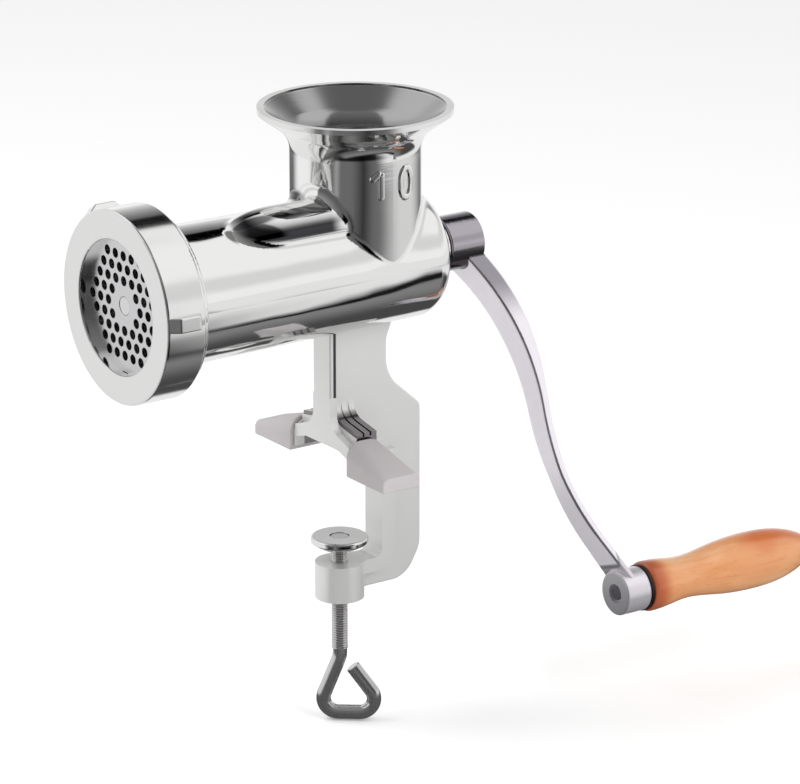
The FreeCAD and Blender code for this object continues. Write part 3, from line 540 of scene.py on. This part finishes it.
def strokeRidge(line, closed):
    # a ridge along a flat line (u along the neck's girth, v up): across the stroke its height is
    # raised * (1 - s^4), and at an open end the stroke narrows as a circle does, the height by its root
    line = np.asarray(line, float)
    ahead = np.roll(line, -1, axis=0) - np.roll(line, 1, axis=0)
    if not closed:
        ahead[0] = line[1] - line[0]
        ahead[-1] = line[-1] - line[-2]
    ahead /= np.linalg.norm(ahead, axis=1)[:, None]
    side = np.stack([-ahead[:, 1], ahead[:, 0]], 1)
    half = numberLook["stroke"] / 2
    shrink = np.ones(len(line))
    if not closed:
        length = np.concatenate([[0.0], np.cumsum(np.linalg.norm(np.diff(line, axis=0), axis=1))])
        nearest = np.minimum(length, length[-1] - length)
        shrink = np.sqrt(np.clip(1 - (1 - np.minimum(nearest / half, 1.0)) ** 2, 0.0, 1.0))
    s = np.linspace(-1.0, 1.0, 15)
    flat = line[:, None] + side[:, None] * (s[None, :, None] * half * shrink[:, None, None])
    rise = numberLook["raised"] * (1 - s[None, :] ** 4) * shrink[:, None] ** 0.5
    rise = rise - numberLook["sunk"] * (1 - shrink[:, None])
    angle = math.radians(numberLook["angle"]) + flat[..., 0] / neck["radius"]
    radius = neck["radius"] - numberLook["foot"] + rise
    x = radius * np.cos(angle)
    y = neck["y"] + radius * np.sin(angle)
    z = numberLook["middle"] + flat[..., 1]
    return np.stack([x, y, z], -1), gridFaces(len(line), len(s), closeRows=closed)


def makeNumber():
    tall = numberLook["height"] / 2
    half = numberLook["stroke"] / 2
    left = -numberLook["spacing"] / 2
    right = numberLook["spacing"] / 2
    v = np.linspace(-tall + half, tall - half, 60)
    one = np.stack([np.full_like(v, left), v], 1)
    share = np.linspace(0.0, 1.0, 24)
    flag = numberLook["flag"] * share
    flagLine = np.stack([left - flag, tall - half - numberLook["flagSlope"] * flag], 1)
    turn = np.linspace(0.0, 2 * math.pi, 96, endpoint=False)
    zero = np.stack([
        right + (numberLook["zeroWidth"] / 2 - half) * np.cos(turn),
        (tall - half) * np.sign(np.sin(turn)) * np.abs(np.sin(turn)) ** numberLook["zeroPower"],
    ], 1)
    grids = [strokeRidge(one, False), strokeRidge(flagLine, False), strokeRidge(zero, True)]
    makePiece("size_number", "casting", "tinned_iron", *joinGrids(grids))


makeNumber()


# Threads

mouthThreadLook = {
    "radius": 0.0422,
    "start": -0.1178,
    "end": -0.1029,
    "pitch": 0.003,
    "depth": 0.0011,
    "columns": 128,
    "perTurn": 12,
}


def threadSurface(radius, start, end, pitch, depth, columns, perTurn, hand=1.0):
    # radius(s, u) = radius - depth * (1 - tooth) * fade: the tooth is 1 on a crest a fifth of the pitch wide
    # and falls straight to 0 in the root, and the groove fades out over 0.7 pitch at each end
    s = np.linspace(start, end, int((end - start) / pitch * perTurn) + 1)[:, None]
    u = np.linspace(0.0, 1.0, columns, endpoint=False)[None, :]
    phase = (s / pitch - hand * u) % 1.0
    tooth = np.clip(1.25 - 2.5 * np.abs(phase - 0.5), 0.0, 1.0)
    fade = np.clip(np.minimum(s - start, end - s) / (0.7 * pitch), 0.0, 1.0)
    r = radius + depth * (tooth - 1.0) * fade
    return np.broadcast_arrays(s, r, 2 * math.pi * u)


def makeMouthThread():
    # the outside thread that carries the ring; it shows when the ring is unscrewed
    s, r, u = threadSurface(**mouthThreadLook)
    points = np.stack([r * np.cos(u), s, axisZ + r * np.sin(u)], -1)
    makePiece("mouth_thread", "casting", "tinned_iron", points, gridFaces(*r.shape, closeColumns=True))


clampScrewLook = {
    "radius": 0.0040,
    "rod": 0.00355,
    "pitch": 0.00125,
    "depth": 0.00062,
    "top": -0.0450,
    "threadEnd": -0.0965,
    "bend": -0.1010,
    "bottom": -0.1305,
    "left": -0.0115,
    "right": 0.0235,
    "endAcross": 0.0065,
    "endHeight": -0.1070,
    "turn": 52.0,
    "bendRadii": (0.012, 0.0072, 0.0072),
    "step": 0.0007,  # between points of the bent rod's path
    "sides": 48,
    "perTurn": 12,
    "endEdge": 0.0006,
    "endRings": (0.75, 0.4, 0.02),  # sizes of the rings in the cut face
}


def makeClampScrew():
    # a threaded upper part, then a slightly thinner rod bent into a three-sided loop and cut off square
    look = clampScrewLook
    sides = look["sides"]
    turn = math.radians(look["turn"])
    flat = np.array([math.cos(turn), math.sin(turn), 0.0])
    across = np.array([-math.sin(turn), math.cos(turn), 0.0])
    s, r, u = threadSurface(
        look["radius"], look["threadEnd"], look["top"], look["pitch"], look["depth"],
        columns=sides, perTurn=look["perTurn"], hand=-1.0,
    )
    thread = np.stack([r * np.cos(u), r * np.sin(u), s], -1)
    corners = [
        (0.0, look["threadEnd"]),
        (0.0, look["bend"]),
        (look["left"], look["bottom"]),
        (look["right"], look["bottom"]),
        (look["endAcross"], look["endHeight"]),
    ]
    corners = [a * flat + np.array([0.0, 0.0, h]) for a, h in corners]
    path = bentPath(corners, look["bendRadii"], look["step"])
    rod = tube(path, look["rod"], sides, across)
    ahead = path[-1] - path[-2]
    ahead /= np.linalg.norm(ahead)
    # the cut end: its edge rounds over a quarter turn, then rings of shrinking size lead to a small last face
    edge = look["endEdge"]
    outline = rod[-1] - path[-1]
    lip = np.linspace(0.0, math.pi / 2, 6)
    cut = [
        path[-1] + outline * (1 - edge / look["rod"] * (1 - math.cos(a))) + ahead * edge * math.sin(a)
        for a in lip
    ]
    face = path[-1] + ahead * edge
    cut += [face + (cut[-1] - face) * share for share in look["endRings"]]
    grids = [
        (thread, gridFaces(*r.shape, closeColumns=True)),
        (rod, gridFaces(len(rod), sides, closeColumns=True)),
        (np.array(cut), gridFaces(len(cut), sides, closeColumns=True)),
    ]
    points, faces = joinGrids(grids)
    faces.append(list(range(len(points) - sides, len(points))))
    piece = makePiece("clamp_screw_rod", "screw", "screw_steel", points, faces, smoothAngle=50)
    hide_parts("clamp_screw")


makeMouthThread()
makeClampScrew()
print("threads made")


# Studio

studio = {
    "azimuth": 55.1,
    "elevation": 18.05,
    "distance": 2.2,
    "scale": 2.10,  # picture points per millimetre at the object
    "middle": (338.6, 334.7),  # where the aimed point lies in the picture
    "aimHeight": 0.0625,
    "floor": -0.1345,
    "plainLight": 0.62,  # what the world gives to dull surfaces
    "sensor": 36.0,
    "frame": (800.0, 784.0),
    "clipEnd": 50.0,
}
degrees = 180.0 / math.pi  # in a radian


def makeCamera():
    # a long lens; it is moved sideways and not turned, so that the frame's middle sees the right point
    a = math.radians(studio["azimuth"])
    e = math.radians(studio["elevation"])
    back = np.array([math.sin(a) * math.cos(e), -math.cos(a) * math.cos(e), math.sin(e)])
    right = np.array([math.cos(a), math.sin(a), 0.0])
    above = np.cross(back, right)
    perPoint = mm / studio["scale"]
    aim = np.array([0.0, 0.0, studio["aimHeight"]])
    wide, tall = studio["frame"]
    aim = aim + right * (wide / 2 - studio["middle"][0]) * perPoint
    aim = aim - above * (tall / 2 - studio["middle"][1]) * perPoint
    data = bpy.data.cameras.new("camera")
    data.sensor_width = studio["sensor"]
    data.lens = studio["sensor"] * studio["scale"] * studio["distance"] / mm / wide
    data.clip_end = studio["clipEnd"]
    camera = bpy.data.objects.new("camera", data)
    bpy.context.collection.objects.link(camera)
    camera.location = aim + back * studio["distance"]
    camera.rotation_euler = (math.pi / 2 - e, 0.0, a)
    bpy.context.scene.camera = camera


def areaLamp(name, place, aim, size, power):
    data = bpy.data.lights.new(name, "AREA")
    data.shape = "RECTANGLE"
    data.size = size[0]
    data.size_y = size[1]
    data.energy = power
    lamp = bpy.data.objects.new(name, data)
    bpy.context.collection.objects.link(lamp)
    lamp.location = place
    lamp.rotation_euler = (Vector(aim) - Vector(place)).to_track_quat("-Z", "Y").to_euler()
    lamp.visible_glossy = False


# the cards round the table that polished metal sees: middle and half width in degrees from +X
# towards +Y, softness of the sides, brightness
cardBase = 0.16
cards = {
    "whiteLeft": (-138.0, 26.0, 14.0, 1.0),
    "stripFront": (-66.0, 4.0, 5.0, 0.36),
    "poleFront": (-80.0, 3.0, 4.0, 0.03),
    "flagCamera": (-20.0, 8.0, 16.0, 0.02),
    "whiteRight": (62.0, 34.0, 24.0, 0.74),
    "whiteBehind": (138.0, 14.0, 12.0, 0.90),
}


class Graph(Finish):
    # the same helper on the world's nodes, or on a material without a Principled shader
    def __init__(self, tree, coordinates):
        self.tree = tree
        tree.nodes.clear()
        self.where = self.node("ShaderNodeTexCoord").out(coordinates)

    def azimuth(self, x, y):
        return y.maths("ARCTAN2", y, x) * degrees

    def window(self, angle, middle, half, soft):
        # 1 within half of the middle, with soft sides; the angle may run past 180 degrees
        away = angle.maths("WRAP", angle - middle, 180.0, -180.0)
        return self.between(away.maths("ABSOLUTE", away), half + soft, half - soft)

    def dim(self, share, first, second):
        # mixes two plain values
        return first + share * (second - first)

    def walls(self, angle):
        level = cardBase
        for middle, half, soft, brightness in cards.values():
            level = self.dim(self.window(angle, middle, half, soft), level, brightness)
        return level

    def grey(self, level):
        return self.node("ShaderNodeCombineColor", None, {0: level, 1: level, 2: level}).out("Color")

    def light(self, level):
        return self.node("ShaderNodeEmission", None, {"Color": self.grey(level)}).out("Emission")

    def mixShader(self, share, first, second):
        return self.node("ShaderNodeMixShader", None, {0: share, 1: first, 2: second}).out("Shader")

    def ray(self, name):
        return self.node("ShaderNodeLightPath").out(name)

    def finish(self, kind, shader):
        output = self.node(kind)
        self.tree.links.new(shader.socket, output.node.inputs["Surface"])


floorLook = {
    "colour": (0.90, 0.90, 0.90),
    "half": 6.0,
    "lift": 0.20,  # makes the floor white to the camera and keeps the shadow
    "tableSide": 0.197,  # polished metal sees a table top that ends here towards +X
    "tableCorner": (0.205, 0.180),  # where its edge runs on at a slant
    "slant": 42.0,  # degrees from +X
    "rounding": 0.05,
    "rim": 0.016,
    "rimNear": 0.35,  # share of its width at the middle of the floor
    "rimGrowth": 2.2,  # and how much it gains with each metre out
    "rimCore": 0.6,  # share of it that is fully dark
    "tableLight": 0.24,
    "tablePaintedShadow": 0.07,
    "open": 0.90,
    "nearDark": 0.93,  # how much darker it is on the camera's side
    # these are pairs as above, and windows of middle, half width and softness in degrees
    "tableFade": (-0.17, -0.02),
    "cardsFrom": (0.76, 0.83),  # a ring far out shows the same cards as the walls
    "cardsEnd": (1.20, 1.05),
    "frontCards": (-35.0, 50.0, 14.0),
    "frontCardsFrom": (0.10, 0.20),
    "nearSide": (-30.0, 50.0, 20.0),
    "nearSideEnd": (0.60, 0.40),
    "crispFrom": (0.05, 0.12),
    "softEdge": 0.045,
    "crispEdge": 0.004,
    "tableFront": (-0.20, -0.10),
    "frontSlope": 0.6,
    "tableLeft": (-0.10, -0.06),
    "tableEnd": (0.60, 0.45),
    "edgeShade": 0.9,
    "edgeShadeEnd": (0.055, 0.008),
    "rimEnd": (0.75, 0.60),
}


def makeFloor():
    # plain and pale to the camera and to dull surfaces; polished metal sees another picture in it, a grey
    # table top that ends in a dark rim, and the cards further out
    mesh = bpy.data.meshes.new("floor")
    half = floorLook["half"]
    height = studio["floor"]
    corners = [(-half, -half, height), (half, -half, height), (half, half, height), (-half, half, height)]
    mesh.from_pydata(corners, [], [(0, 1, 2, 3)])
    floor = bpy.data.objects.new("floor", mesh)
    bpy.context.collection.objects.link(floor)
    look = floorLook
    material = bpy.data.materials.new("paleFloor")
    material.use_nodes = True
    mesh.materials.append(material)
    graph = Graph(material.node_tree, "Object")
    x, y = graph.axes()[:2]
    radius = (x * x + y * y) ** 0.5
    slant = math.radians(look["slant"])
    side = x - look["tableSide"]
    along = (x - look["tableCorner"][0]) * math.sin(slant) - (y - look["tableCorner"][1]) * math.cos(slant)
    beyond = side.maths("SMOOTH_MIN", side, along, look["rounding"])
    # lighter towards the edge of the table, with a painted shadow below the object
    table = graph.dim(graph.between(beyond, *look["tableFade"]), look["tablePaintedShadow"], look["tableLight"])
    angle = graph.azimuth(x, y)
    cardShare = graph.between(radius, *look["cardsFrom"]) * graph.between(radius, *look["cardsEnd"])
    front = graph.window(angle, *look["frontCards"]) * graph.between(radius, *look["frontCardsFrom"])
    around = graph.dim(cardShare.highest(front), look["open"], graph.walls(angle))
    near = graph.window(angle, *look["nearSide"]) * graph.between(radius, *look["nearSideEnd"])
    around = around * (1.0 - look["nearDark"] * near)
    # the table's edge is crisp with a dark rim towards the crank, and fades towards the mouth and far away
    crisp = graph.between(y, *look["crispFrom"])
    soft = look["softEdge"] - (look["softEdge"] - look["crispEdge"]) * crisp
    extent = graph.between(y + look["frontSlope"] * x, *look["tableFront"])
    extent = extent * graph.between(x, *look["tableLeft"])
    extent = extent * graph.between(radius, *look["tableEnd"])
    shade = look["edgeShade"] * extent * graph.between(beyond, *look["edgeShadeEnd"])
    around = around * (1.0 - shade)
    level = graph.dim(graph.between(beyond, soft, 0.0 - soft) * extent, around, table)
    # the rim looks wider further out, where it is seen at a lower angle
    rim = look["rim"] * (look["rimNear"] + look["rimGrowth"] * radius)
    line = graph.between(beyond.maths("ABSOLUTE", beyond), rim, look["rimCore"] * rim) * crisp
    level = graph.dim(line * graph.between(radius, *look["rimEnd"]), level, 0.0)
    pale = graph.node("ShaderNodeBsdfDiffuse", None, {"Color": look["colour"]}).out("BSDF")
    lift = graph.light(look["lift"] * graph.ray("Is Camera Ray"))
    pale = graph.node("ShaderNodeAddShader", None, {0: pale, 1: lift}).out("Shader")
    surface = graph.mixShader(graph.ray("Is Glossy Ray"), pale, graph.light(level))
    graph.finish("ShaderNodeOutputMaterial", surface)


# what polished metal sees of the room: windows are middle, half and softness, and pairs are where a term
# starts and where it is full, all in degrees
room = {
    "band": (20.0, 9.0, 5.0),  # a slightly grey band round the walls
    "bandLevel": 0.78,
    "ceiling": (58.0, 70.0),
    "ceilingLevel": 0.22,
    "cameraSide": (-33.0, 60.0, 2.5),
    "cameraTop": (72.0, 60.0),
    "cameraRise": (15.0, 60.0),
    "cameraLow": 0.12,
    "cameraHigh": 0.27,
    "farSide": (130.0, 34.0, 6.0),
    "farTop": (54.2, 53.4),
    "farFade": (8.0, 40.0),
    "farFadeShare": 0.9,
    "farFadeLevel": 0.08,
    "farBlack": (39.0, 42.0),
    "flag": (12.0, 15.0, 4.0),
    "flagTop": (19.0, 14.0),
}


def makeWorld():
    # white to the camera, even to dull surfaces; polished metal sees a white room with a black gap at the
    # far side, a black flag to the right and a dark side behind the camera
    world = bpy.data.worlds.new("studio")
    bpy.context.scene.world = world
    world.use_nodes = True
    graph = Graph(world.node_tree, "Generated")
    x, y, z = graph.axes()
    height = z.maths("ARCSINE", z) * degrees
    angle = graph.azimuth(x, y)
    level = graph.dim(graph.window(height, *room["band"]), 1.0, room["bandLevel"])
    level = graph.dim(graph.between(height, *room["ceiling"]), level, room["ceilingLevel"])
    camera = graph.window(angle, *room["cameraSide"]) * graph.between(height, *room["cameraTop"])
    rise = graph.between(height, *room["cameraRise"])
    level = graph.dim(camera, level, graph.dim(rise, room["cameraLow"], room["cameraHigh"]))
    far = graph.window(angle, *room["farSide"]) * graph.between(height, *room["farTop"])
    fade = room["farFadeShare"] * far * graph.between(height, *room["farFade"])
    level = graph.dim(fade, level, room["farFadeLevel"])
    level = graph.dim(far * graph.between(height, *room["farBlack"]), level, 0.0)
    flag = graph.window(angle, *room["flag"]) * graph.between(height, *room["flagTop"])
    level = graph.dim(flag, level, 0.0)
    seen = graph.node("ShaderNodeBackground", None, {"Color": graph.grey(level)}).out("Background")
    even = graph.node("ShaderNodeBackground", None, {"Color": (studio["plainLight"],) * 3}).out("Background")
    white = graph.node("ShaderNodeBackground", None, {"Color": (1.0, 1.0, 1.0)}).out("Background")
    surface = graph.mixShader(graph.ray("Is Glossy Ray"), even, seen)
    graph.finish("ShaderNodeOutputWorld", graph.mixShader(graph.ray("Is Camera Ray"), surface, white))


# place, size and power of each lamp; metal doesn't see them
lamps = {
    "keyLamp": ((-0.5, -0.9, 1.5), (1.0, 1.0), 14.0),
    "sideLamp": ((1.6, 0.3, 1.0), (0.8, 1.2), 14.0),
}
lampAim = (0.0, 0.0, 0.06)

makeCamera()
makeFloor()
makeWorld()
for name, (place, size, power) in lamps.items():
    areaLamp(name, place, lampAim, size, power)
bpy.context.scene.view_settings.view_transform = "Standard"
print("studio made")
